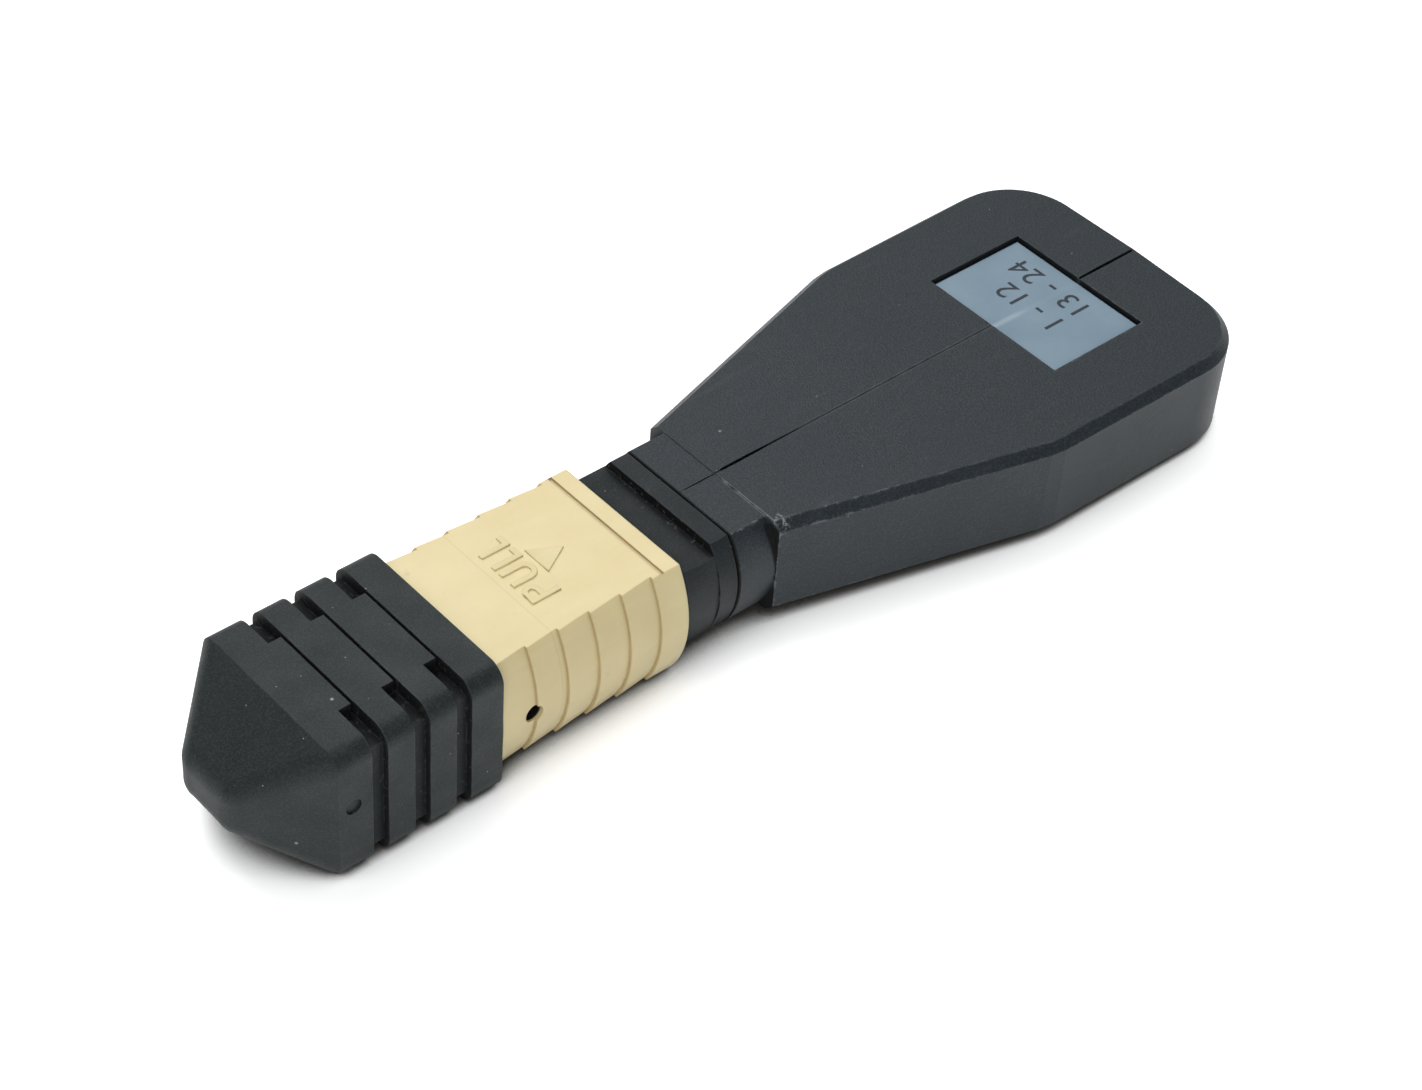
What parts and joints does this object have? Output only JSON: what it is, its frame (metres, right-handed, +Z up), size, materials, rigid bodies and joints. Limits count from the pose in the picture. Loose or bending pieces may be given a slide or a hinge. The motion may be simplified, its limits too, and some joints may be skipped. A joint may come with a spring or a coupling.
{
  "type": "mpo fibre connector",
  "caption": "Multi-fibre push-pull loopback plug: hollow two-part body that turns the fibres round, sliding beige sleeve and ribbed dust cap.",
  "frame": {"origin": "on the connector's mid plane, half way along the whole object, at the level of the dust cap's underside", "axes": "+X from the dust cap's nose to the rear of the loopback body, +Z up out of the labelled face, +Y to the left of +X"},
  "size_m": [0.0772, 0.0232, 0.0101],
  "materials": {
    "black_cap": "fine spark-eroded black plastic",
    "beige_sleeve": "satin beige plastic",
    "black_housing": "moulded black plastic",
    "black_body": "moulded black plastic, slightly satin",
    "label_film": "grey-blue printed film",
    "ferrule_resin": "glass-filled moulding resin",
    "boot_rubber": "soft black rubber",
    "spring_steel": "drawn spring wire",
    "fibre_coating": "aqua acrylate coating"
  },
  "bodies": {
    "plug": {"inner_housing": "black_housing", "spring_push": "black_body", "shell_left": "black_body", "shell_right": "black_body", "label": "label_film", "ferrule_spring": "spring_steel", "sleeve_spring_left": "spring_steel", "sleeve_spring_right": "spring_steel", "fibre_loop_01": "fibre_coating", "fibre_loop_02": "fibre_coating", "fibre_loop_03": "fibre_coating", "fibre_loop_04": "fibre_coating", "fibre_loop_05": "fibre_coating", "fibre_loop_06": "fibre_coating", "fibre_loop_07": "fibre_coating", "fibre_loop_08": "fibre_coating", "fibre_loop_09": "fibre_coating", "fibre_loop_10": "fibre_coating", "fibre_loop_11": "fibre_coating", "fibre_loop_12": "fibre_coating"},
    "sleeve": {"outer_sleeve": "beige_sleeve"},
    "ferrule": {"mt_ferrule": "ferrule_resin", "pin_keeper": "black_housing", "ferrule_boot": "boot_rubber"},
    "cap": {"dust_cap": "black_cap"}
  },
  "joints": [
    {"name": "sleeve_pull", "type": "slide", "parent": "plug", "child": "sleeve", "axis": [1, 0, 0], "range_m": [0, 0.0023], "stiffness_N_per_m": 250, "deforming": ["sleeve_spring_left", "sleeve_spring_right"]},
    {"name": "ferrule_float", "type": "slide", "parent": "plug", "child": "ferrule", "axis": [1, 0, 0], "range_m": [0, 0.0008], "stiffness_N_per_m": 400, "deforming": ["ferrule_spring"]},
    {"name": "cap_pull", "type": "slide", "parent": "plug", "child": "cap", "axis": [-1, 0, 0], "range_m": [0, 0.015]}
  ]
}
